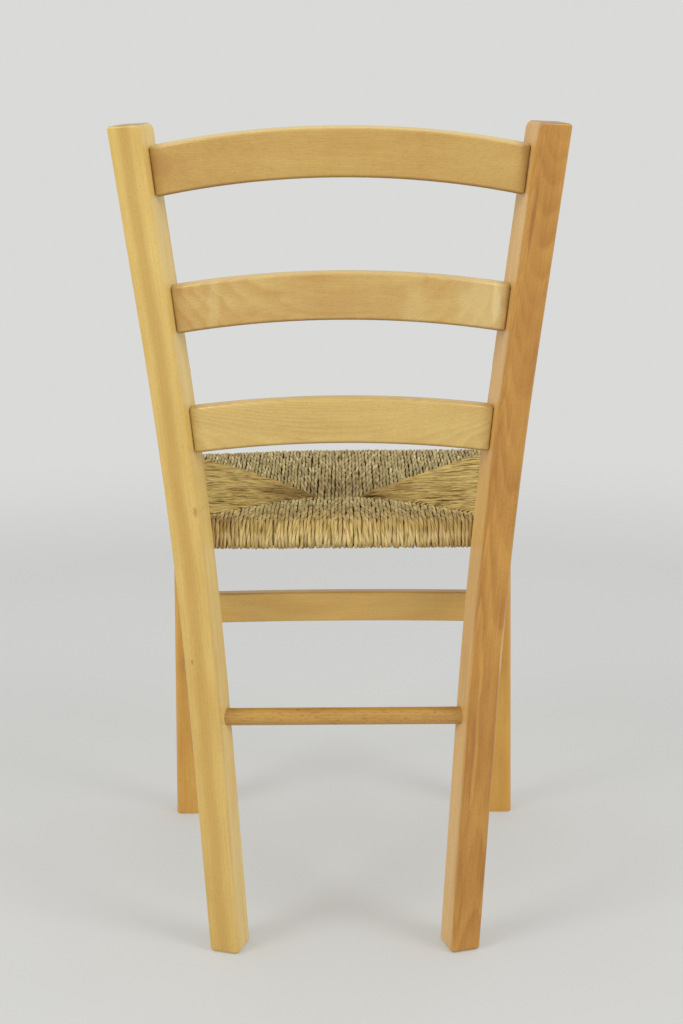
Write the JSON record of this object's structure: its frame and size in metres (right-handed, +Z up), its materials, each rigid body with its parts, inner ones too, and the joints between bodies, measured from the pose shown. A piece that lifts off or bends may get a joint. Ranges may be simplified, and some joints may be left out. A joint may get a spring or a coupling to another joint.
{
  "type": "ladderback chair",
  "caption": "Ladderback dining chair: splayed bent rear posts, bowed arched slats, round rungs, a flat front stretcher and a woven rush seat.",
  "frame": {"origin": "on the floor, under the middle of the chair's overall width and depth", "axes": "+Z up, the front of the seat towards -Y, the back towards +Y, the sitter's left at +X"},
  "size_m": [0.435, 0.507, 0.8833],
  "materials": {
    "beech": "satin varnish",
    "raw_beech": "sanded, unvarnished",
    "rush": "twisted rush cord",
    "straw": "loose straw"
  },
  "bodies": {
    "root": {"rear_post_left": "beech", "rear_post_right": "beech", "front_leg_left": "beech", "front_leg_right": "beech", "back_slat_top": "beech", "back_slat_middle": "beech", "back_slat_bottom": "beech", "rear_rung": "beech", "front_stretcher": "beech", "side_rung_upper_left": "beech", "side_rung_upper_right": "beech", "side_rung_lower_left": "beech", "side_rung_lower_right": "beech", "seat_rail_front": "raw_beech", "seat_rail_rear": "raw_beech", "seat_rail_left": "raw_beech", "seat_rail_right": "raw_beech", "rush_front": "rush", "rush_rear": "rush", "rush_left": "rush", "rush_right": "rush", "seat_stuffing_front": "straw", "seat_stuffing_rear": "straw", "seat_stuffing_left": "straw", "seat_stuffing_right": "straw"}
  },
  "joints": []
}
